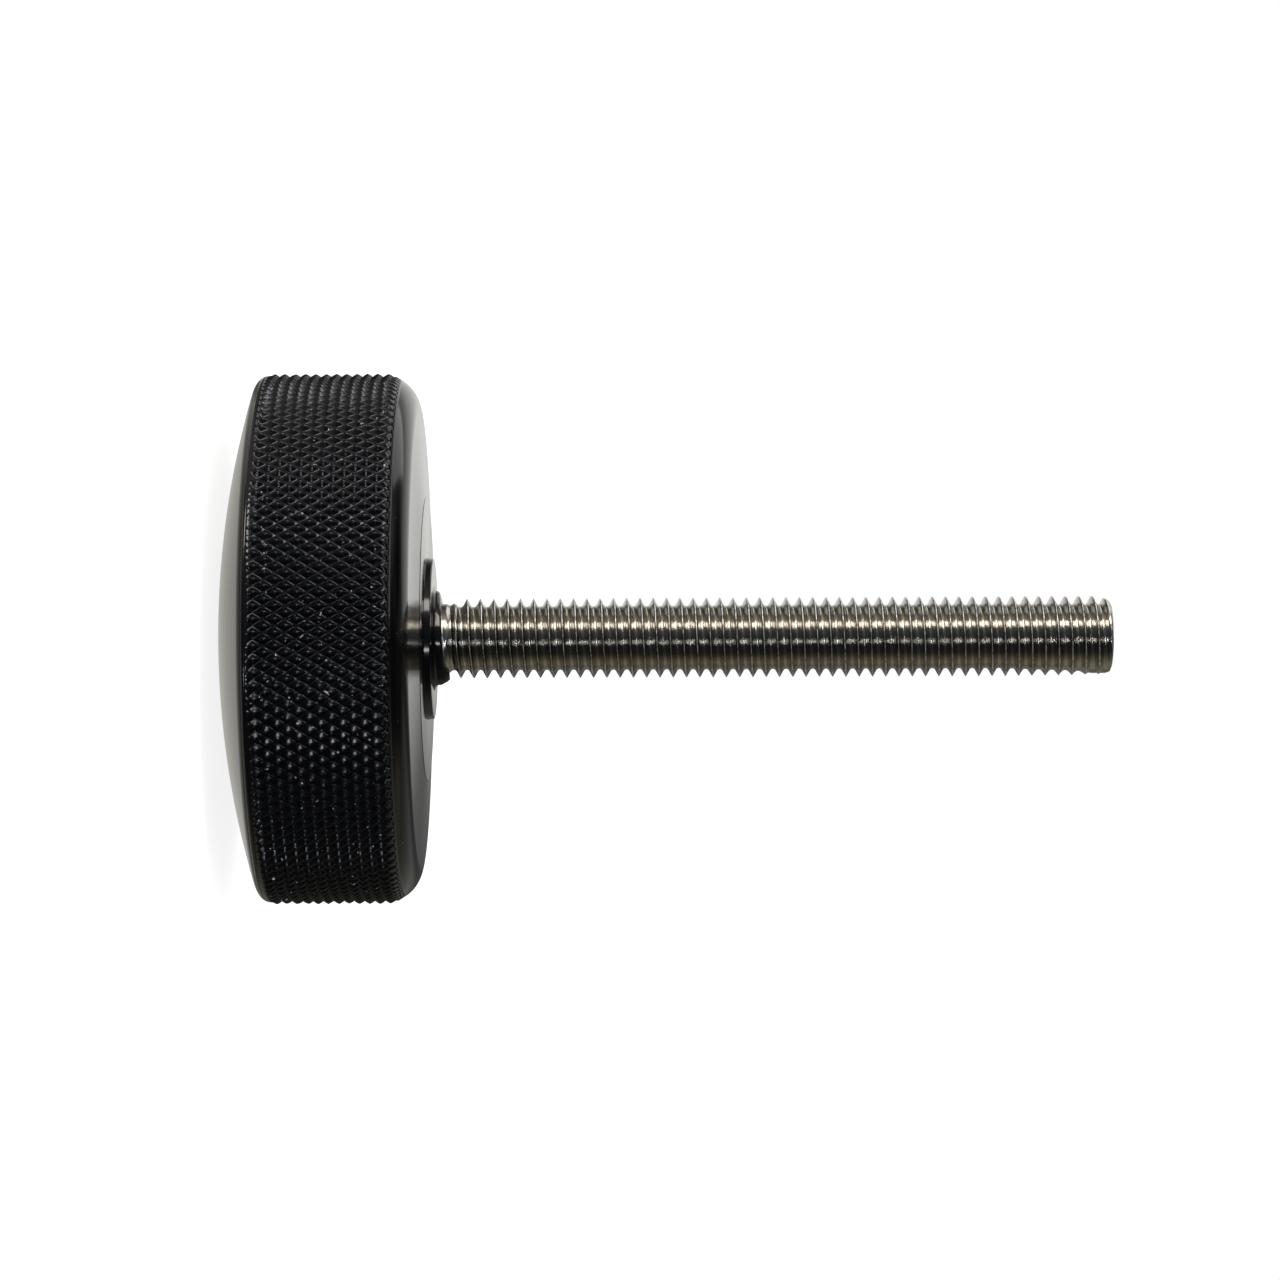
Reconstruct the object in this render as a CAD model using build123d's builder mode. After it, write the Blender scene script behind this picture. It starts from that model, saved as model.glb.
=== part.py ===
from build123d import *
import math
import os

os.makedirs("parts", exist_ok=True)

# Knurled thumb knob: a turned, domed head with a diamond knurl, and a threaded stud set in its back.
# Millimetres. +Z runs along the stud, and the origin is the crown of the dome, the lowest point.

# Stud, a headless screw with an M6 x 1 thread, partly buried in the head. The shank that is buried has
# the radius of the blank that the thread was rolled on, and the thread runs out to it above the head.
stud_radius = 3.0
thread_pitch = 1.0
thread_depth = 0.613 * thread_pitch
shank_radius = 2.68
shank_rise = 1.7
run_out_length = 0.35
stud_length = 60.0
stud_reach = 51.2

# Turned head
head_radius = 19.8
dome_radius = 65.0
front_round = 0.9
shoulder_round = 2.7
rim_height = 14.95
hub_radius = 10.7
hub_height = 15.4
boss_radius = 6.04
boss_height = 15.92
boss_edge = 0.12
drill_point_angle = 118.0

# Diamond knurl rolled over the rim: two crossed sets of grooves leave rings of pointed diamonds
knurl_teeth = 130
knurl_crest = 19.87
knurl_depth = 0.42
knurl_front = 3.33
knurl_half_rows = 13
knurl_half_pitch = 0.775
knurl_ledge = 0.03
core_radius = 18.6

# Bead of thread adhesive, squeezed out round the root of the stud, with a larger lump on one side
bead_radius = 3.95
bead_height = 0.9
bead_lip = 0.1
lump_radius = 0.95
lump_middle_radius = 2.95
lump_angle = -28.0
lump_rise = 0.35

# Heights that follow from those
knurl_root = knurl_crest - knurl_depth
knurl_back = knurl_front + knurl_half_rows * knurl_half_pitch
stud_tip = boss_height + stud_reach
stud_bottom = stud_tip - stud_length
shank_top = boss_height + shank_rise

# Middle of the front round, which is tangent to the dome on one side and to the rim on the other
front_middle_radius = head_radius - front_round
dome_to_middle = dome_radius - front_round
front_middle_height = dome_radius - math.sqrt(dome_to_middle**2 - front_middle_radius**2)
dome_angle = math.degrees(math.asin(front_middle_radius / dome_to_middle))
dome_height = dome_radius * (1 - math.cos(math.radians(dome_angle)))

# Middle of the shoulder round, which is tangent to the rim
shoulder_middle_radius = head_radius - shoulder_round
shoulder_middle_height = rim_height - shoulder_round

# How far each round has turned from the rim where the knurl meets it, and the radius there
front_turn = math.degrees(math.asin((front_middle_height - knurl_front) / front_round))
front_join = front_middle_radius + front_round * math.cos(math.radians(front_turn))
shoulder_turn = math.degrees(math.asin((knurl_back - shoulder_middle_height) / shoulder_round))
shoulder_join = shoulder_middle_radius + shoulder_round * math.cos(math.radians(shoulder_turn))


# A point of the knurl, counted in half teeth round the rim and half rows up it. The grooves cross where
# the two counts add up to an even number, and the other points are the tips of the diamonds. In the
# first and last rows the grooves have run out, and every point is level with the plain head.
def knurl_point(half_tooth, half_row):
    if half_row == 0:
        radius = front_join + knurl_ledge
    elif half_row == knurl_half_rows:
        radius = shoulder_join + knurl_ledge
    elif (half_tooth + half_row) % 2 == 0:
        radius = knurl_root
    else:
        radius = knurl_crest
    angle = math.pi * half_tooth / knurl_teeth
    height = knurl_front + half_row * knurl_half_pitch
    return Vector(radius * math.cos(angle), radius * math.sin(angle), height)


# The two flanks between four neighbouring points. The fold between them is a stretch of groove.
def knurl_flanks(half_tooth, half_row):
    here = knurl_point(half_tooth, half_row)
    beside = knurl_point(half_tooth + 1, half_row)
    above = knurl_point(half_tooth, half_row + 1)
    across = knurl_point(half_tooth + 1, half_row + 1)
    if (half_tooth + half_row) % 2 == 0:
        corners = [(here, beside, across), (here, across, above)]
    else:
        corners = [(here, beside, above), (beside, across, above)]
    return [Face(Wire.make_polygon(points)) for points in corners]


def knurl_end(half_row):
    ring = [knurl_point(half_tooth, half_row) for half_tooth in range(2 * knurl_teeth)]
    inside = Wire.make_circle(core_radius, Plane.XY.offset(ring[0].Z))
    return Face(Wire.make_polygon(ring), [inside])


# The knurled band as a closed ring round the core
core = Solid.make_cylinder(core_radius, knurl_back - knurl_front, Plane.XY.offset(knurl_front))
band_faces = core.faces().filter_by(GeomType.CYLINDER) + [knurl_end(0), knurl_end(knurl_half_rows)]
for half_row in range(knurl_half_rows):
    for half_tooth in range(2 * knurl_teeth):
        band_faces += knurl_flanks(half_tooth, half_row)
knurled_band = Solid(Shell(band_faces))

with BuildPart() as knob_head:
    # Front round, core of the band, rounded shoulder, back rising slightly to the hub, and boss
    with BuildSketch(Plane.XZ):
        with BuildLine():
            front_edge = CenterArc(
                (front_middle_radius, front_middle_height),
                front_round,
                dome_angle - 90,
                90 - dome_angle - front_turn,
            )
            shoulder = CenterArc(
                (shoulder_middle_radius, shoulder_middle_height),
                shoulder_round,
                shoulder_turn,
                90 - shoulder_turn,
            )
            Polyline(
                front_edge @ 1,
                (core_radius, knurl_front),
                (core_radius, knurl_back),
                shoulder @ 0,
            )
            Polyline(
                shoulder @ 1,
                (hub_radius, hub_height),
                (boss_radius, hub_height),
                (boss_radius, boss_height),
                (0, boss_height),
                (0, dome_height),
                front_edge @ 0,
            )
        make_face()
    revolve(axis=Axis.Z)

    # Blind hole for the stud, with the drill's point below it
    with Locations((0, 0, boss_height)):
        Hole(shank_radius, boss_height - stud_bottom)
    with Locations((0, 0, stud_bottom)):
        Cone(
            0,
            shank_radius,
            shank_radius / math.tan(math.radians(drill_point_angle / 2)),
            align=(Align.CENTER, Align.CENTER, Align.MAX),
            mode=Mode.SUBTRACT,
        )
    chamfer(knob_head.edges().group_by(Axis.Z)[-1].sort_by(SortBy.RADIUS)[-1], boss_edge)

    # Domed front, which is the cap of a ball, and the knurl
    with Locations((0, 0, dome_radius)):
        ball = Sphere(dome_radius, rotation=(90, 0, 0), mode=Mode.PRIVATE)
    dome = split(ball, Plane.XY.offset(dome_height), keep=Keep.BOTTOM, mode=Mode.PRIVATE)
    add([knurled_band, dome])

with BuildPart() as threaded_stud:
    # Buried shank, run-out, and the thread's outer cylinder
    with BuildSketch(Plane.XZ):
        with BuildLine():
            Polyline(
                (0, stud_bottom),
                (shank_radius, stud_bottom),
                (shank_radius, shank_top),
                (stud_radius, shank_top + run_out_length),
                (stud_radius, stud_tip),
                (0, stud_tip),
                close=True,
            )
        make_face()
    revolve(axis=Axis.Z)
    chamfer(threaded_stud.edges().group_by(Axis.Z)[-1], thread_depth)

with BuildPart() as thread_adhesive:
    # Bead, from the boss up to the shank
    with BuildSketch(Plane.XZ):
        with BuildLine():
            Polyline(
                (0, boss_height),
                (bead_radius, boss_height),
                (shank_radius + bead_lip, boss_height + bead_height),
                (0, boss_height + bead_height),
                close=True,
            )
        make_face()
    revolve(axis=Axis.Z)

    # The lump, where more of it ran out and set
    with PolarLocations(lump_middle_radius, 1, start_angle=lump_angle):
        with Locations((0, 0, boss_height + lump_rise)):
            Sphere(lump_radius)
    split(bisect_by=Plane.XY.offset(boss_height), keep=Keep.TOP)
    with Locations((0, 0, boss_height)):
        Cylinder(
            shank_radius,
            2 * lump_radius,
            align=(Align.CENTER, Align.CENTER, Align.MIN),
            mode=Mode.SUBTRACT,
        )

for name, piece in (
    ("knob_head", knob_head),
    ("threaded_stud", threaded_stud),
    ("thread_adhesive", thread_adhesive),
):
    piece.part.label = name
    export_step(piece.part, f"parts/{name}.step")
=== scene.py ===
import math

import bmesh
import bpy
import numpy as np
from mathutils import Matrix, Vector


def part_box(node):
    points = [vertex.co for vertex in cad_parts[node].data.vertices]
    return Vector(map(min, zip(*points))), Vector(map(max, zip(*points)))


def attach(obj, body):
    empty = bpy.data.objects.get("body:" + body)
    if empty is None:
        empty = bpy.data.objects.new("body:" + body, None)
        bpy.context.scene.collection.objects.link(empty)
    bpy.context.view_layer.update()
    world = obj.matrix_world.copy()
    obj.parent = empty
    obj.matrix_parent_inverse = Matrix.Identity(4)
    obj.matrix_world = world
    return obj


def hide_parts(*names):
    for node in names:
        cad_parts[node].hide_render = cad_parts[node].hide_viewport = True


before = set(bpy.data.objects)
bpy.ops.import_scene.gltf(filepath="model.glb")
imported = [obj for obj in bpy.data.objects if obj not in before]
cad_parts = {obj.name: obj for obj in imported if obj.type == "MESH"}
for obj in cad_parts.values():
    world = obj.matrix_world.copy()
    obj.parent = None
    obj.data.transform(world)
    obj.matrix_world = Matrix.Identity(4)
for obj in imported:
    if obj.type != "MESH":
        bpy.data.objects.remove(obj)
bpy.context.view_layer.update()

scene = bpy.context.scene
mm = 0.001
fullTurn = 2 * math.pi

# Corners of the solids' boxes, in millimetres
headHigh = np.array(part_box("knob_head")[1]) / mm
studLow, studHigh = (np.array(corner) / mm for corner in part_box("threaded_stud"))
beadHigh = np.array(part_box("thread_adhesive")[1]) / mm
print("frame loaded: head", headHigh.round(2), "stud", studHigh.round(2), "bead", beadHigh.round(2))


# Shader maths: a Signal is one socket, and an expression on Signals adds the Math nodes it needs
class Signal:
    def __init__(self, tree, socket=None):
        self.tree = tree
        self.socket = socket

    # Settings come first, because a node's mode can change its sockets
    def node(self, kind, settings=None, sockets=None, out=0):
        made = self.tree.nodes.new(kind)
        for name, value in (settings or {}).items():
            if name == "stops":
                setStops(made.color_ramp.elements, value)
            else:
                setattr(made, name, value)
        for name, value in (sockets or {}).items():
            if isinstance(value, Signal):
                self.tree.links.new(value.socket, made.inputs[name])
            else:
                made.inputs[name].default_value = value
        return Signal(self.tree, made.outputs[out] if made.outputs else None)

    def maths(self, operation, *values):
        return self.node("ShaderNodeMath", {"operation": operation}, dict(enumerate(values)))

    def __add__(self, other):
        return self.maths("ADD", self, other)

    def __radd__(self, other):
        return self.maths("ADD", other, self)

    def __sub__(self, other):
        return self.maths("SUBTRACT", self, other)

    def __rsub__(self, other):
        return self.maths("SUBTRACT", other, self)

    def __mul__(self, other):
        return self.maths("MULTIPLY", self, other)

    def __rmul__(self, other):
        return self.maths("MULTIPLY", other, self)

    def __truediv__(self, other):
        return self.maths("DIVIDE", self, other)

    def __rtruediv__(self, other):
        return self.maths("DIVIDE", other, self)

    def __pow__(self, other):
        return self.maths("POWER", self, other)

    def __rpow__(self, other):
        return self.maths("POWER", other, self)

    # From 0 at the low value to 1 at the high one
    def rising(self, low, high):
        settings = {"interpolation_type": "SMOOTHSTEP"}
        sockets = {"Value": self, "From Min": low, "From Max": high}
        return self.node("ShaderNodeMapRange", settings, sockets)

    # From the first colour at 0 to the second at 1, by the Mix node's colour sockets
    def blend(self, first, second):
        sockets = {"Factor": self, 6: first, 7: second}
        return self.node("ShaderNodeMix", {"data_type": "RGBA"}, sockets, 2)

    # The X, Y and Z of a place
    def parts(self):
        return [self.node("ShaderNodeSeparateXYZ", None, {0: self}, axis) for axis in range(3)]

    def noise(self, scale, detail):
        sockets = {"Vector": self, "Scale": scale, "Detail": detail}
        return self.node("ShaderNodeTexNoise", None, sockets)

    # Bumps of this height, with their distance in metres
    def bump(self, strength, distance):
        sockets = {"Height": self, "Strength": strength, "Distance": distance}
        return self.node("ShaderNodeBump", None, sockets)


# A ramp sorts its stops as they are added, so each gets its colour at once
def setStops(elements, stops):
    elements.remove(elements[1])
    elements[0].position, elements[0].color = stops[0]
    for place, tone in stops[1:]:
        elements.new(place).color = tone


def newMaterial(name):
    material = bpy.data.materials.new(name)
    material.use_nodes = True
    material.node_tree.nodes.clear()
    return material, Signal(material.node_tree)


def finishMaterial(start, **sockets):
    names = {name.replace("_", " "): value for name, value in sockets.items()}
    shader = start.node("ShaderNodeBsdfPrincipled", None, names)
    start.node("ShaderNodeOutputMaterial", None, {"Surface": shader})


def colour(red, green, blue):
    return (red, green, blue, 1)


white, black = colour(1, 1, 1), colour(0, 0, 0)


def objectPlace(start):
    return start.node("ShaderNodeTexCoord", None, None, "Object")


# Object coordinates, turned into the angle round the axis, the distance from it and the height
def turnedPlace(start):
    place = objectPlace(start)
    x, y, z = place.parts()
    return place, x.maths("ARCTAN2", y, x), (x * x + y * y) ** 0.5, z


def vectorOf(start, x, y, z):
    return start.node("ShaderNodeCombineXYZ", None, {"X": x, "Y": y, "Z": z})


# A value that the mesh holds at its points
def pointValue(start, name):
    return start.node("ShaderNodeAttribute", {"attribute_name": name}, None, "Fac")


# Mesh helpers, all in millimetres
def ringOf(profilePoint, columns):
    angle = np.arange(columns) * fullTurn / columns
    radius, height = profilePoint
    return np.stack([radius * np.cos(angle), radius * np.sin(angle), np.full(columns, height)], 1)


# Quads between ring after ring of the same number of points
def bandFaces(first, rings, columns):
    row, column = np.meshgrid(np.arange(rings - 1), np.arange(columns), indexing="ij")
    beside = (column + 1) % columns
    corners = [row * columns + column, row * columns + beside]
    corners += [(row + 1) * columns + beside, (row + 1) * columns + column]
    return (np.stack(corners, -1).reshape(-1, 4) + first).tolist()


# Points of an arc in a turned profile, from one angle to another in degrees
def arcPoints(middle, radius, fromAngle, toAngle, steps):
    angles = np.radians(np.linspace(fromAngle, toAngle, steps + 1))
    return [(middle[0] + radius * math.cos(a), middle[1] + radius * math.sin(a)) for a in angles]


# A turned profile's corners, each given as radius, height and the round on it. Corners without a round,
# and those that hardly turn, stay single points.
def roundedCorners(corners, steps=5, straight=1.55):
    points = [corners[0][:2]]
    for before, corner, after in zip(corners, corners[1:], corners[2:]):
        here = np.array(corner[:2])
        back = np.array(before[:2]) - here
        ahead = np.array(after[:2]) - here
        back /= np.linalg.norm(back)
        ahead /= np.linalg.norm(ahead)
        half = math.acos(np.clip(back @ ahead, -1, 1)) / 2
        if corner[2] == 0 or half > straight:
            points.append(tuple(here))
            continue
        reach = corner[2] / math.tan(half)
        middle = here + (back + ahead) / np.linalg.norm(back + ahead) * corner[2] / math.sin(half)
        start, end = here + back * reach - middle, here + ahead * reach - middle
        for share in np.linspace(0, 1, steps + 1):
            way = start * (1 - share) + end * share
            points.append(tuple(middle + way / np.linalg.norm(way) * corner[2]))
    return points + [corners[-1][:2]]


def addPiece(name, points, faces, materials, node):
    mesh = bpy.data.meshes.new(name)
    mesh.from_pydata((np.asarray(points) * mm).tolist(), [], faces)
    mesh.shade_smooth()
    for material in materials:
        mesh.materials.append(material)
    piece = bpy.data.objects.new(name, mesh)
    scene.collection.objects.link(piece)
    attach(piece, "root")
    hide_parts(node)
    print(f"{name}: {len(mesh.vertices)} points, {sum(len(f) - 2 for f in faces)} triangles")
    return piece


def addPointValue(piece, name, values):
    attribute = piece.data.attributes.new(name, "FLOAT", "POINT")
    attribute.data.foreach_set("value", np.asarray(values, np.float32))


# From 0 to 1 with soft ends, while the value goes from 0 to 1
def smoothStep(value):
    value = np.clip(value, 0, 1)
    return value * value * (3 - 2 * value)


# How many degrees an angle in radians lies from a direction in degrees, by the short way round
def angleFrom(angle, degrees):
    return np.degrees(np.angle(np.exp(1j * (angle - math.radians(degrees)))))


def bell(distance, width):
    return np.exp(-((distance / width) ** 2))


# The head: turned outline with the diamond knurl cut into its rim
head = {
    "domeRadius": 65.0,
    "rimRadius": 19.8,
    "frontRound": 0.9,
    "shoulderRound": 2.7,
    "rimHeight": 14.95,
    "hubRadius": 10.7,
    "hubHeight": 15.4,
    "hubStep": 0.035,
    "bossRadius": 6.04,
    "bossRound": 0.12,
    "bossFlare": 0.04,  # the boss's foot: how much wider than the boss, and how far above the hub
    "bossFoot": 0.01,
    "holeRadius": 2.72,
    "holeGap": 0.02,
    "drillAngle": 118.0,
    "fineEdge": 0.02,
    "softEdge": 0.05,
    "domeSteps": 26,
    "frontSteps": 9,
    "frontGap": 4.0,  # degrees of this round that are left out beside the knurl
    "shoulderSteps": 16,
    "shoulderGap": 2.0,
    "knurlTeeth": 130,
    "knurlDepth": 0.48,
    "sharpTips": 0.06,
    "knurlFront": 3.33,
    "knurlHalfRows": 13,
    "knurlHalfPitch": 0.775,
    "smoothStrip": 0.3,  # plain rim in front of the knurl
    "frontRunOut": 0.4,  # lengths over which the knurl runs out, and where its back one ends
    "backRunOut": 0.8,
    "backRunOutEnd": 10.3,
    "lift": 0.13,
    "ridgeDip": 0.03,
    "ridgeWidth": 0.16,
    "unevenness": 0.07,
    "luckSize": 400,
    "luckSeed": 5,
    "colour": colour(0.002, 0.002, 0.0028),
    "knurlColour": colour(0.0014, 0.0014, 0.0022),
    "dustColour": colour(0.42, 0.42, 0.44),
    "smoothCoat": 0.92,
    "coatUneven": 0.14,
    "smoothRoughness": 0.13,
    "smoothDust": (0.72, 0.77),
    "knurlRoughness": 0.27,
    "knurlDust": (0.69, 0.75),
    "knurlShine": 0.46,
    "knurlTint": colour(0.86, 0.9, 1.0),
}

# Points per half tooth and half row. The joins to the plain rim count on four, see fanFaces.
finePerHalf = 4

frontMiddle = head["rimRadius"] - head["frontRound"]
domeToMiddle = head["domeRadius"] - head["frontRound"]
frontMiddleHeight = head["domeRadius"] - math.sqrt(domeToMiddle**2 - frontMiddle**2)
domeAngle = math.asin(frontMiddle / domeToMiddle)
shoulderMiddle = head["rimRadius"] - head["shoulderRound"]
shoulderMiddleHeight = head["rimHeight"] - head["shoulderRound"]


# Radius of the head's rim before it was knurled, with the two rounds
def plainRim(height):
    front = np.clip(frontMiddleHeight - height, 0, head["frontRound"])
    back = np.clip(height - shoulderMiddleHeight, 0, head["shoulderRound"])
    frontLoss = head["frontRound"] - np.sqrt(head["frontRound"] ** 2 - front**2)
    backLoss = head["shoulderRound"] - np.sqrt(head["shoulderRound"] ** 2 - back**2)
    return head["rimRadius"] - frontLoss - backLoss


# How far a place is from the nearest groove of one set, from 0 in the groove to 1 between two
def tent(count):
    return 1 - np.abs(np.mod(count, 2) - 1)


# A flank rises straight, with a little round at the groove's bottom and at the top
def flank(share):
    return np.interp(share, [0, 0.25, 0.5, 0.75, 1], [0, 0.21, 0.49, 0.78, 1.0])


def knurlRows():
    columns = 2 * head["knurlTeeth"] * finePerHalf
    rows = head["knurlHalfRows"] * finePerHalf + 2
    row, column = np.meshgrid(np.arange(rows), np.arange(columns), indexing="ij")
    halfTooth, halfRow = column / finePerHalf, row / finePerHalf
    height = head["knurlFront"] + halfRow * head["knurlHalfPitch"]
    rising, falling = tent(halfTooth + halfRow), tent(halfTooth - halfRow)

    # Each diamond's tip is a little higher or lower than the rest
    size = head["luckSize"]
    luck = np.random.default_rng(head["luckSeed"]).uniform(-1, 1, (size, size))
    diamond = luck[
        np.floor((halfTooth + halfRow) / 2).astype(int) % size,
        np.floor((halfTooth - halfRow) / 2).astype(int) % size,
    ]
    low, high = np.minimum(flank(rising), flank(falling)), np.maximum(flank(rising), flank(falling))
    tip = low - head["ridgeDip"] * bell(high - low, head["ridgeWidth"]) * low
    crest = headHigh[0] + head["sharpTips"]
    knurl = crest - head["knurlDepth"] * (1 - tip * (1 + head["unevenness"] * diamond))

    # Towards both ends the knurl sinks into the plain rim
    plain = plainRim(height)
    runOut = smoothStep((height - head["knurlFront"] - head["smoothStrip"]) / head["frontRunOut"])
    backOut = smoothStep((head["knurlFront"] + head["backRunOutEnd"] - height) / head["backRunOut"])
    lifted = plain + head["lift"] * runOut * backOut
    radius = plain + (np.minimum(knurl, lifted) - plain) * runOut
    radius = np.minimum(radius, crest)
    radius[0], radius[-1] = plain[0], plain[-1]
    angle = column * fullTurn / columns
    points = np.stack([radius * np.cos(angle), radius * np.sin(angle), height], -1)
    groove = 1 - np.minimum(rising, falling)
    return points, groove * runOut


# Each quad of the knurl is split along the groove that runs through or beside it
def knurlFaces(first, rows, columns):
    row, column = np.meshgrid(np.arange(rows - 1), np.arange(columns), indexing="ij")
    beside = (column + 1) % columns
    a, b = row * columns + column + first, row * columns + beside + first
    c, d = (row + 1) * columns + beside + first, (row + 1) * columns + column + first
    onFalling = np.mod(column - row, 2 * finePerHalf) == 0
    nearFalling = tent((column - row) / finePerHalf) < tent((column + row + 1) / finePerHalf)
    alongFalling = (onFalling | nearFalling)[..., None, None]
    one = np.stack([np.stack([a, b, c], -1), np.stack([a, c, d], -1)], -2)
    other = np.stack([np.stack([a, b, d], -1), np.stack([b, c, d], -1)], -2)
    return np.where(alongFalling, one, other).reshape(-1, 3).tolist()


# Where the columns meet four times as many on the knurl, a wide triangle has two narrow ones on each side
def fanFaces(coarse, fineStart, columns, flip):
    faces = []
    for i in range(columns):
        here, beside = coarse + i, coarse + (i + 1) % columns
        f = [fineStart + (4 * i + k) % (4 * columns) for k in range(5)]
        fan = [(here, f[1], f[0]), (here, f[2], f[1]), (here, beside, f[2])]
        fan += [(beside, f[3], f[2]), (beside, f[4], f[3])]
        faces += [tri[::-1] for tri in fan] if flip else fan
    return faces


def buildHead():
    columns = 2 * head["knurlTeeth"]
    domeEnd = math.degrees(domeAngle) - 90
    dome = arcPoints((0, head["domeRadius"]), head["domeRadius"], -90, domeEnd, head["domeSteps"])
    frontTurn = math.degrees(math.asin((frontMiddleHeight - head["knurlFront"]) / head["frontRound"]))
    front = arcPoints(
        (frontMiddle, frontMiddleHeight),
        head["frontRound"],
        domeEnd,
        -frontTurn - head["frontGap"],
        head["frontSteps"],
    )
    knurl, groove = knurlRows()
    rows, fineColumns = knurl.shape[:2]
    knurlEnd = knurl[-1, 0, 2]
    shoulderTurn = math.degrees(math.asin((knurlEnd - shoulderMiddleHeight) / head["shoulderRound"]))
    shoulder = arcPoints(
        (shoulderMiddle, shoulderMiddleHeight),
        head["shoulderRound"],
        shoulderTurn + head["shoulderGap"],
        90,
        head["shoulderSteps"],
    )

    # The back rises to the hub, steps up on to it and ends at the boss and the stud's hole
    hubRadius, hubHeight, step = head["hubRadius"], head["hubHeight"], head["hubStep"]
    fineEdge, softEdge = head["fineEdge"], head["softEdge"]
    slope = (hubHeight - head["rimHeight"]) / (shoulderMiddle - hubRadius)
    back = roundedCorners(
        [
            (*shoulder[-1], 0),
            (hubRadius + step, hubHeight - slope * step - step / 2, fineEdge),
            (hubRadius, hubHeight + step / 2, fineEdge),
            (head["bossRadius"] + head["bossFlare"], hubHeight + head["bossFoot"], softEdge),
            (head["bossRadius"], headHigh[2], head["bossRound"]),
            (head["holeRadius"], headHigh[2], softEdge),
            (head["holeRadius"], studLow[2] - head["holeGap"], 0),
        ]
    )
    pointHeight = studLow[2] - head["holeRadius"] / math.tan(math.radians(head["drillAngle"] / 2))

    under, over = dome[1:] + front[1:], shoulder + back[1:]
    points = [np.array([[0, 0, 0]])] + [ringOf(p, columns) for p in under]
    points += [knurl.reshape(-1, 3)] + [ringOf(p, columns) for p in over]
    points += [np.array([[0, 0, pointHeight]])]
    points = np.concatenate(points)

    # Faces from the crown of the dome to the drill's point
    underStart, knurlStart = 1, 1 + len(under) * columns
    overStart = knurlStart + rows * fineColumns
    lastRing, drillTip = overStart + (len(over) - 1) * columns, len(points) - 1
    pairs = [(i, (i + 1) % columns) for i in range(columns)]
    faces = [(0, underStart + j, underStart + i) for i, j in pairs]
    faces += bandFaces(underStart, len(under), columns)
    faces += fanFaces(underStart + (len(under) - 1) * columns, knurlStart, columns, True)
    faces += knurlFaces(knurlStart, rows, fineColumns)
    faces += fanFaces(overStart, knurlStart + (rows - 1) * fineColumns, columns, False)
    faces += bandFaces(overStart, len(over), columns)
    faces += [(drillTip, lastRing + i, lastRing + j) for i, j in pairs]

    materials = [anodisedSmooth(), anodisedKnurl()]
    piece = addPiece("knurledHead", points, faces, materials, "knob_head")
    grooveValues = np.zeros(len(points))
    grooveValues[knurlStart:overStart] = groove.reshape(-1)
    addPointValue(piece, "groove", grooveValues)
    stripRows = round(head["smoothStrip"] / head["knurlHalfPitch"] * finePerHalf)
    stripEnd = knurlStart + stripRows * fineColumns
    onKnurl = [stripEnd <= min(face) and max(face) < overStart for face in faces]
    piece.data.polygons.foreach_set("material_index", np.array(onKnurl, np.int32))


# Satin black anodising over fine turning marks
def anodisedSmooth():
    material, start = newMaterial("anodisedSmooth")
    place, angle, radius, height = turnedPlace(start)
    marks = vectorOf(start, radius * (1 / mm), height * (1 / mm), angle * 0.3).noise(14, 3)
    speck = place.noise(2300, 3).rising(*head["smoothDust"])
    finishMaterial(
        start,
        Base_Color=(0.3 * speck).blend(head["colour"], head["dustColour"]),
        Roughness=0.5,
        Normal=marks.bump(0.3, 0.008 * mm),
        Specular_IOR_Level=0.0,
        Coat_Weight=head["smoothCoat"] + head["coatUneven"] * place.noise(90, 2),
        Coat_Roughness=head["smoothRoughness"],
        Coat_IOR=1.5,
    )
    return material


# The same black on the knurl, duller, with random specks of dust, and a little glossier in its grooves
def anodisedKnurl():
    material, start = newMaterial("anodisedKnurl")
    place = objectPlace(start)
    groove = pointValue(start, "groove")
    broad = place.noise(260, 3)
    speck = place.noise(2300, 3).rising(*head["knurlDust"])
    finishMaterial(
        start,
        Base_Color=speck.blend(head["knurlColour"], head["dustColour"]),
        Roughness=head["knurlRoughness"] + 0.2 * (broad - 0.5) + 0.25 * speck - 0.04 * groove,
        Normal=place.noise(5200, 2).bump(0.35, 0.014 * mm),
        Specular_IOR_Level=head["knurlShine"],
        Specular_Tint=head["knurlTint"],
        IOR=1.5,
    )
    return material


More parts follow.
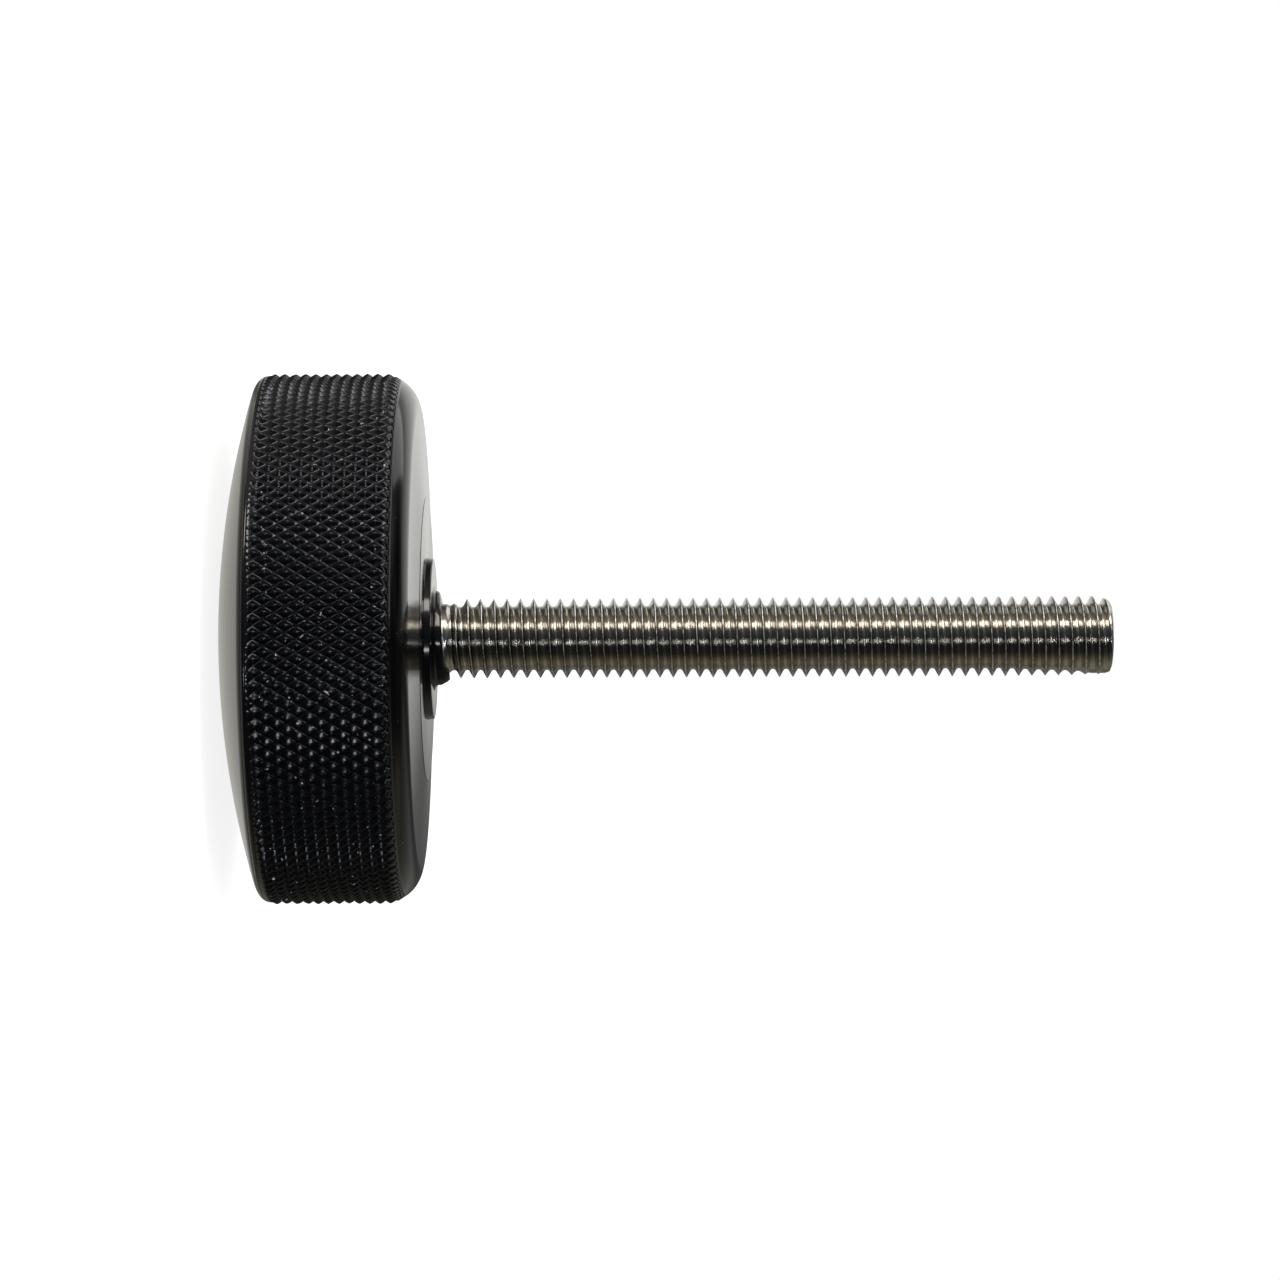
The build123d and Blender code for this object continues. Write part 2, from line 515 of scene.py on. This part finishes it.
# The stud: a rolled thread that winds round as one surface
stud = {
    "pitch": 1.0,
    "crestHeight": 17.9,  # height of one crest, on the +X side
    "threadDepth": 0.61,
    "flankAngle": 60.0,
    "crestHalf": 0.02,  # where a pitch's flat crest ends and its round root starts, as shares of it
    "rootFrom": 0.29,
    "crestSlack": 0.01,
    "shankRadius": 2.68,
    "shallowCrest": 2.63,  # radii of the thread's first turn, and heights over which it deepens
    "shallowRoot": 2.4,
    "runOutStart": 17.3,
    "runOutEnd": 18.0,
    "rootOutStart": 16.85,
    "rootOutEnd": 17.35,
    "hiddenStart": 0.6,  # how far below the boss's face the thread starts
    "buriedBevel": (0.25, 0.3),
    "tipShort": 0.32,  # how far from the solid's end the free end stops
    "tipRadius": 2.66,
    "tipTaper": 0.35,
    "tipBevel": 0.1,
    "tipDish": ((1.4, 0.02), (0.7, 0.05)),  # radius and depth of the dish in the free end
    "wornAngle": 2.0,  # the side on which the last turns are blunt
    "wornWidth": 32.0,
    "wornDepth": 0.2,
    "wornCrest": 0.12,
    "wornPlaces": (1.4, 2.4, 3.6, 5.6, 8.0),  # how far from the tip, and how worn there
    "wornShares": (1.0, 0.6, 0.42, 0.28, 0.0),
    "columns": 96,
    "colour": colour(0.6, 0.585, 0.56),
    "paintedRootShade": colour(0.34, 0.31, 0.25),
    "roughness": 0.09,
    "paintedCrestHighlight": colour(1.0, 1.0, 0.98),
    "paintedCrestShade": colour(0.34, 0.33, 0.32),
    "crestRoughness": 0.42,
    "paintedFlankShade": colour(0.24, 0.235, 0.22),
}

tipHeight = studHigh[2] - stud["tipShort"]


# Places of the points across one pitch, as shares of it from the crest: crest, flank and round root
def pitchShares():
    crest, root = stud["crestHalf"], stud["rootFrom"]
    side = [crest, crest + 0.35 * (root - crest), crest + 0.7 * (root - crest), root]
    bend = [root + share * (0.5 - root) for share in (0.25, 0.5, 0.75)]
    half = side + bend
    return np.array([-0.5] + [-share for share in reversed(half)] + half)


# How deep the thread is cut at a share of the pitch from its crest, as a share of its depth
def threadCut(share):
    away = np.abs(share)
    crest, root = stud["crestHalf"], stud["rootFrom"]
    steep = math.radians(stud["flankAngle"])
    bendRadius = (0.5 - root) / math.sin(steep)
    bendMiddle = bendRadius * math.cos(steep)
    straight = np.clip(away - crest, 0, root - crest) * math.tan(steep)
    rest = np.clip(0.5 - away, 0, 0.5 - root)
    bend = (np.sqrt(bendRadius**2 - rest**2) - bendMiddle) * (away > root)
    whole = (root - crest) * math.tan(steep) + bendRadius - bendMiddle
    return (straight + bend) / whole


# The thread deepens over its first turn. Its last turns are blunt on one side, with their root filled.
def threadRadius(share, height, angle):
    shape = 1 - threadCut(share)
    cut = studHigh[0] - stud["threadDepth"] * (1 - shape)
    start = smoothStep((height - stud["runOutStart"]) / (stud["runOutEnd"] - stud["runOutStart"]))
    rootOut = smoothStep((height - stud["rootOutStart"]) / (stud["rootOutEnd"] - stud["rootOutStart"]))
    shallow = stud["shallowCrest"] - (stud["shallowCrest"] - stud["shallowRoot"]) * rootOut * (1 - shape)
    radius = shallow + (cut - shallow) * start
    wearAndCrestSheen = bell(angleFrom(angle, stud["wornAngle"]), stud["wornWidth"])
    wearAndCrestSheen = wearAndCrestSheen * np.interp(tipHeight - height, stud["wornPlaces"], stud["wornShares"])
    filled = np.maximum(studHigh[0] - stud["wornDepth"], radius - stud["wornCrest"])
    radius = radius + wearAndCrestSheen * (filled - radius)
    return np.minimum(radius, stud["tipRadius"] + (tipHeight - height) * stud["tipTaper"])


def buildStud():
    shares, columns = pitchShares(), stud["columns"]
    perTurn = len(shares)
    visibleFrom = headHigh[2] - stud["hiddenStart"]
    turns = math.ceil((studHigh[2] - visibleFrom) / stud["pitch"]) + 3
    firstTurn = math.floor((visibleFrom - stud["crestHeight"]) / stud["pitch"]) - 1
    index = np.arange(turns * perTurn)
    share, turnNumber = shares[index % perTurn], index // perTurn + firstTurn
    column = np.arange(columns)
    wound = (turnNumber + share)[:, None] + column[None] / columns
    height = stud["crestHeight"] + wound * stud["pitch"]
    angle = np.repeat((column * fullTurn / columns)[None], len(index), 0)
    radius = threadRadius(np.repeat(share[:, None], columns, 1), height, angle)
    points = np.stack([radius * np.cos(angle), radius * np.sin(angle), height], -1)

    # After each turn a row goes on in the row that is one pitch above it
    faces = []
    for row in range(len(index) - 1):
        for i in range(columns):
            j, shift = (i + 1, 0) if i + 1 < columns else (0, perTurn)
            if row + shift + 1 < len(index):
                corners = [(row, i), (row + shift, j), (row + shift + 1, j), (row + 1, i)]
                faces.append([r * columns + c for r, c in corners])

    work = bmesh.new()
    verts = [work.verts.new(p) for p in points.reshape(-1, 3)]
    for face in faces:
        work.faces.new([verts[k] for k in face])
    for level, keepAbove in ((visibleFrom, True), (tipHeight - stud["tipBevel"], False)):
        bmesh.ops.bisect_plane(
            work,
            geom=list(work.verts) + list(work.edges) + list(work.faces),
            dist=1e-5,
            plane_co=(0, 0, level),
            plane_no=(0, 0, 1),
            clear_inner=keepAbove,
            clear_outer=not keepAbove,
        )
    loose = [v for v in work.verts if not v.link_faces]
    bmesh.ops.delete(work, geom=loose, context="VERTS")
    bmesh.ops.remove_doubles(work, verts=list(work.verts), dist=1e-4)
    closeStudEnds(work, visibleFrom)
    bmesh.ops.recalc_face_normals(work, faces=list(work.faces))
    work.verts.index_update()
    ends = np.array([v.co[:] for v in work.verts])
    polygons = [[v.index for v in f.verts] for f in work.faces]
    work.free()
    piece = addPiece("rolledStud", ends, polygons, [rolledSteel()], "threaded_stud")

    # For the steel: how deep each point lies in the thread, and which points lie on its crest
    x, y, z = ends.T
    addPointValue(piece, "depth", np.clip((studHigh[0] - np.hypot(x, y)) / stud["threadDepth"], 0, 1))
    away = (z - stud["crestHeight"]) / stud["pitch"] - np.arctan2(y, x) / fullTurn
    onCrest = np.abs(away - np.round(away)) < stud["crestHalf"] + stud["crestSlack"]
    addPointValue(piece, "crest", onCrest)


# The free end is a flat face with a bevelled edge and a small dish, and the other end runs down inside
# the head as a plain shank. Each ring is given as radius and height.
def closeStudEnds(work, lowCut):
    bevel, shank = stud["tipBevel"], stud["shankRadius"]
    bevelIn, bevelUp = stud["buriedBevel"]
    freeEnd = [(stud["tipRadius"] - 2 * bevel, tipHeight)]
    freeEnd += [(radius, tipHeight - down) for radius, down in stud["tipDish"]]
    buriedEnd = [(shank, studLow[2] + bevelUp), (shank - bevelIn, studLow[2])]
    for cut, profile in ((tipHeight - bevel, freeEnd), (lowCut, buriedEnd)):
        ring = orderedLoop([e for e in work.edges if e.is_boundary and abs(e.verts[0].co.z - cut) < 1e-3])
        for radius, level in profile:
            fresh = []
            for vert in ring:
                flat = Vector((vert.co.x, vert.co.y, 0)).normalized() * radius
                fresh.append(work.verts.new((flat.x, flat.y, level)))
            for k in range(len(ring)):
                n = (k + 1) % len(ring)
                work.faces.new([ring[k], ring[n], fresh[n], fresh[k]])
            ring = fresh
        work.faces.new(ring)


def orderedLoop(edges):
    verts = {v for e in edges for v in e.verts}
    return sorted(verts, key=lambda v: math.atan2(v.co.y, v.co.x))


# Stainless steel, with the streaks that the rolling dies left along the thread. Painted shade darkens its
# roots and the flanks below the crests, and painted highlights bead along the crests.
def rolledSteel():
    material, start = newMaterial("rolledSteel")
    place, angle, radius, height = turnedPlace(start)
    depth, crest = pointValue(start, "depth"), pointValue(start, "crest").rising(0.75, 0.97)
    wound = height * (1 / (stud["pitch"] * mm)) - angle / fullTurn
    streaks = vectorOf(start, wound, angle * 0.12, radius * 300).noise(20, 3)
    pits = place.noise(6500, 2)
    # Painted shade: darker, browner patches towards the thread's roots. The same mask also makes the
    # roots a little rougher.
    rootShadeMask = depth.rising(0.3, 1.0) * (0.35 + 0.5 * place.noise(420, 3))
    # Painted shade: the flanks just below the crests are darker
    flankShadeMask = 0.8 * depth.rising(0.02, 0.12) * (1 - depth.rising(0.3, 0.8))
    base = flankShadeMask.blend(rootShadeMask.blend(stud["colour"], stud["paintedRootShade"]), stud["paintedFlankShade"])
    # Painted highlight: bright white beads along the crest lines, with darker painted shade between them
    wearAndCrestSheen = place.noise(3400, 2).rising(0.36, 0.6).blend(stud["paintedCrestShade"], stud["paintedCrestHighlight"])
    polished = stud["roughness"] + 0.12 * (streaks - 0.3) + 0.05 * rootShadeMask
    finishMaterial(
        start,
        Base_Color=crest.blend(base, wearAndCrestSheen),
        Roughness=polished + crest * (stud["crestRoughness"] - polished),
        Metallic=1.0,
        Normal=(streaks + 0.25 * pits).bump(0.5, 0.03 * mm),
    )
    return material


# The adhesive: a collar that ran out round the stud's root and set along its first crest, with one lump.
# Its outline is given as radius and share of the height, from the foot to the stud, and its throat, which
# goes down inside the collar, as radius and how far below the top.
bead = {
    "outline": [
        (3.9, 0),
        (3.75, 0.03),
        (3.42, 0.12),
        (3.2, 0.3),
        (3.2, 0.55),
        (3.17, 0.85),
        (3.02, 1.0),
        (2.6, 0.98),
    ],
    "throat": ((2.5, 0.03), (2.42, 0.12), (2.36, 0.3)),
    "footInside": 2.55,
    "sink": 0.004,
    "margin": 0.02,
    "rowsPerStep": 4,
    "lowTop": 0.5,  # height of the collar where it is lowest, and how much higher it is opposite
    "topRise": 0.44,
    "columns": 180,
    "waves": ((0.05, 3, 1.1), (0.035, 7, 0.4), (0.02, 13, 0)),  # height, number round the collar, start
    "lumpAngle": -20.0,
    "lumpWidth": 19.0,
    "lumpOut": 0.46,
    "lumpUp": 0.33,
    "pitAngle": -10.0,  # a pit in the lump
    "pitWidth": 8.0,
    "pitAt": 0.7,
    "pitTall": 0.1,
    "pitIn": 0.3,
    "wedgeAngle": 178.0,  # the side on which more of it stands on the boss
    "wedgeWidth": 40.0,
    "wedgeOut": 0.42,
    "colour": colour(0.003, 0.003, 0.004),
    "dustColour": colour(0.12, 0.12, 0.13),
    "roughness": 0.09,
}


def buildBead():
    columns = bead["columns"]
    angle = np.arange(columns) * fullTurn / columns
    wobble = sum(size * np.sin(number * angle + begin) for size, number, begin in bead["waves"])
    lump = bell(angleFrom(angle, bead["lumpAngle"]), bead["lumpWidth"])
    pit = bell(angleFrom(angle, bead["pitAngle"]), bead["pitWidth"])
    wedge = bell(angleFrom(angle, bead["wedgeAngle"]), bead["wedgeWidth"])
    top = bead["lowTop"] + bead["topRise"] * np.abs(angle / math.pi - 1)
    floorHeight = headHigh[2] - bead["sink"]
    steps = len(bead["outline"]) - 1
    radii, heights = zip(*bead["outline"])
    rings = []
    for share in np.linspace(0, 1, steps * bead["rowsPerStep"] + 1):
        swell = math.sin(math.pi * share)
        radius = np.interp(share * steps, range(steps + 1), radii)
        height = np.interp(share * steps, range(steps + 1), heights) * (top + lump * bead["lumpUp"])
        radius = radius + wobble * (1 - share) + bead["wedgeOut"] * swell * wedge
        radius = radius + lump * bead["lumpOut"] * swell
        radius = radius - bead["pitIn"] * pit * bell(share - bead["pitAt"], bead["pitTall"])
        radius = np.minimum(radius, beadHigh[0] - bead["margin"])
        rings.append(np.stack([radius * np.cos(angle), radius * np.sin(angle), floorHeight + height], 1))
    for inner, down in bead["throat"]:
        ring = rings[-1] * np.array([[0, 0, 1]])
        ring[:, 2] = floorHeight + height - down
        ring[:, 0], ring[:, 1] = inner * np.cos(angle), inner * np.sin(angle)
        rings.append(ring)
    rings.append(ringOf((bead["footInside"], floorHeight), columns))
    points = np.concatenate(rings)
    faces = bandFaces(0, len(rings), columns)
    last = (len(rings) - 1) * columns
    for i in range(columns):
        j = (i + 1) % columns
        faces.append([last + i, last + j, j, i])
    addPiece("setBead", points, faces, [glossyAdhesive()], "thread_adhesive")


def glossyAdhesive():
    material, start = newMaterial("glossyAdhesive")
    place = objectPlace(start)
    soft = place.noise(900, 3)
    speck = place.noise(5200, 2).rising(0.72, 0.78)
    finishMaterial(
        start,
        Base_Color=speck.blend(bead["colour"], bead["dustColour"]),
        Roughness=bead["roughness"] + 0.06 * soft + 0.3 * speck,
        Normal=soft.bump(0.2, 0.1 * mm),
        IOR=1.5,
    )
    return material


buildHead()
print("head done")
buildStud()
print("stud done")
buildBead()
print("adhesive done")


# The studio: white behind the knob and darker on the camera's side. Going by the picture, a long lamp
# stands above the camera, a small one a little below it and a wide one above and behind the knob.
studio = {
    "distance": 301.2,
    "across": 31.4,  # the height on the stud that the camera faces
    "sideways": 0.167,
    "lens": 112.5,
    "sensor": 36.0,
    "roll": 0.0042,
    "floorRadius": 3000.0,
    "floorColumns": 96,
    "floorDrop": 0.02,
    "floorColour": colour(0.8, 0.8, 0.8),
    "floorGlow": 0.84,
    "worldFill": 0.34,
    "darkFrom": 18.5,  # the floor under the head, as the dome mirrors it: a painted reflection tone
    "darkEdge": 1.15,
    "paintedReflectionUnderHead": colour(0.62, 0.61, 0.56),
    "overhead": 0.85,  # how dark the room is straight up, and the rise of a ray over which it gets so
    "overheadFrom": 0.82,
    "overheadTo": 0.95,
    "lamps": {
        "key": {
            "angle": 49.5,
            "tilt": 2,
            "distance": 600,
            "width": 180,
            "length": 760,
            "watts": 3.6,
            "tint": (1, 0.95, 0.87),
        },
        "small": {
            "angle": -16,
            "tilt": 2,
            "distance": 700,
            "width": 48,
            "length": 300,
            "watts": 0.7,
            "tint": (0.93, 0.97, 1),
        },
        "top": {
            "angle": 118,
            "tilt": 30,
            "distance": 700,
            "width": 500,
            "length": 500,
            "watts": 1.0,
            "tint": (1, 1, 1),
        },
    },
}


# Angles go round the stud's axis, from the camera's side towards the top of the picture
def wayTo(angle, tilt):
    a, t = math.radians(angle), math.radians(tilt)
    return Vector((-math.sin(a) * math.cos(t), -math.cos(a) * math.cos(t), math.sin(t)))


# The camera lies on its side, so that the stud points to the right of the picture
def addCamera():
    data = bpy.data.cameras.new("camera")
    data.lens, data.sensor_width = studio["lens"], studio["sensor"]
    data.clip_start, data.clip_end = 0.01, 50
    camera = bpy.data.objects.new("camera", data)
    scene.collection.objects.link(camera)
    s, c = math.sin(studio["roll"]), math.cos(studio["roll"])
    right, up, back = Vector((s, 0, c)), Vector((-c, 0, s)), Vector((0, -1, 0))
    turned = Matrix((right, up, back)).transposed().to_4x4()
    place = Vector((studio["sideways"], -studio["distance"], studio["across"])) * mm
    camera.matrix_world = Matrix.Translation(place) @ turned
    scene.camera = camera


def addLamp(name, values):
    data = bpy.data.lights.new(name, "AREA")
    data.shape = "RECTANGLE"
    data.size, data.size_y = values["width"] * mm, values["length"] * mm
    data.energy, data.color = values["watts"], values["tint"]
    lamp = bpy.data.objects.new(name, data)
    scene.collection.objects.link(lamp)
    middle = Vector((0, 0, studio["across"] * mm))
    way = wayTo(values["angle"], values["tilt"])
    side = Vector((0, 0, 1)).cross(way).normalized()
    turned = Matrix((side, way.cross(side), way)).transposed().to_4x4()
    lamp.matrix_world = Matrix.Translation(middle + way * values["distance"] * mm) @ turned
    lamp.visible_camera = False


# A pale floor that keeps the shadow, and that shiny surfaces see in the tones of the room, with a painted
# reflection tone under the head
def addFloor():
    edge = ringOf((studio["floorRadius"], 0), studio["floorColumns"]) * mm
    mesh = bpy.data.meshes.new("floor")
    mesh.from_pydata(edge.tolist(), [], [list(range(len(edge)))])
    floor = bpy.data.objects.new("floor", mesh)
    scene.collection.objects.link(floor)
    floor.location.z = -studio["floorDrop"] * mm
    material, start = newMaterial("paleFloor")
    material.cycles.emission_sampling = "NONE"
    x, y, z = objectPlace(start).parts()
    darkFrom = studio["darkFrom"] * mm
    # Painted reflection: under the head, shiny surfaces see the floor in a fixed grey tone instead of the
    # room
    under = ((x * x + y * y) ** 0.5).rising(darkFrom, darkFrom * studio["darkEdge"])
    room = under.blend(studio["paintedReflectionUnderHead"], roomAround(x, y))
    lit = start.node("ShaderNodeBsdfDiffuse", None, {"Color": studio["floorColour"]})
    glow = start.node("ShaderNodeEmission", None, {"Color": white, "Strength": studio["floorGlow"]})
    shown = start.node("ShaderNodeAddShader", None, {0: lit, 1: glow})
    mirrored = start.node("ShaderNodeEmission", None, {"Color": room, "Strength": 1.0})
    sockets = {"Fac": mirroredRays(start), 1: shown, 2: mirrored}
    surface = start.node("ShaderNodeMixShader", None, sockets)
    start.node("ShaderNodeOutputMaterial", None, {"Surface": surface})
    mesh.materials.append(material)


# What shiny surfaces see, by shares of a turn round the axis: 0 and 1 lie behind the knob, 0.25 below it
# in the picture, 0.5 on the camera's side and 0.75 above it in the picture
roomStops = [
    (0.0, (0.7, 0.7, 0.67)),
    (0.003, (0.55, 0.55, 0.53)),
    (0.006, (0.3, 0.3, 0.29)),
    (0.009, (0.07, 0.07, 0.07)),
    (0.025, (0.07, 0.07, 0.07)),
    (0.05, (0.25, 0.25, 0.23)),
    (0.1, (0.2, 0.2, 0.17)),
    (0.14, (0.17, 0.17, 0.14)),
    (0.18, (0.3, 0.28, 0.22)),
    (0.22, (0.27, 0.25, 0.19)),
    (0.27, (0.14, 0.135, 0.1)),
    (0.32, (0.04, 0.042, 0.036)),
    (0.44, (0.018, 0.022, 0.028)),
    (0.5, (0.06, 0.07, 0.09)),
    (0.57, (0.13, 0.14, 0.15)),
    (0.64, (0.5, 0.46, 0.39)),
    (0.69, (0.55, 0.52, 0.45)),
    (0.73, (0.36, 0.34, 0.3)),
    (0.77, (0.18, 0.17, 0.14)),
    (0.82, (0.08, 0.077, 0.065)),
    (0.865, (0.11, 0.107, 0.095)),
    (0.9, (0.42, 0.42, 0.39)),
    (0.94, (0.85, 0.85, 0.82)),
    (1.0, (0.95, 0.95, 0.92)),
]


# The colour of the room in the direction of a place or a ray
def roomAround(x, y):
    turn = x.maths("ARCTAN2", 0 - x, 0 - y) / fullTurn + 0.5
    stops = [(place, (*tone, 1)) for place, tone in roomStops]
    return x.node("ShaderNodeValToRGB", {"stops": stops}, {"Fac": turn})


# 1 for a ray that a shiny or clear surface sends on
def mirroredRays(start):
    glossy = start.node("ShaderNodeLightPath", None, None, "Is Glossy Ray")
    through = start.node("ShaderNodeLightPath", None, None, "Is Transmission Ray")
    return glossy.maths("MAXIMUM", glossy, through)


def setWorld():
    world = bpy.data.worlds.new("studio")
    scene.world = world
    world.use_nodes = True
    world.cycles.sampling_method = "NONE"
    world.node_tree.nodes.clear()
    start = Signal(world.node_tree)
    x, y, z = start.node("ShaderNodeTexCoord", None, None, "Generated").parts()
    fill = studio["worldFill"]
    overhead = studio["overhead"] * z.rising(studio["overheadFrom"], studio["overheadTo"])
    room = overhead.blend(roomAround(x, y), black)
    seen = mirroredRays(start).blend(colour(fill, fill, fill), room)
    camera = start.node("ShaderNodeLightPath", None, None, "Is Camera Ray")
    seen = camera.blend(seen, white)
    background = start.node("ShaderNodeBackground", None, {"Color": seen, "Strength": 1.0})
    start.node("ShaderNodeOutputWorld", None, {"Surface": background})


addCamera()
for lampName, lampValues in studio["lamps"].items():
    addLamp(lampName, lampValues)
addFloor()
setWorld()
scene.view_settings.view_transform = "Standard"
print("studio done")
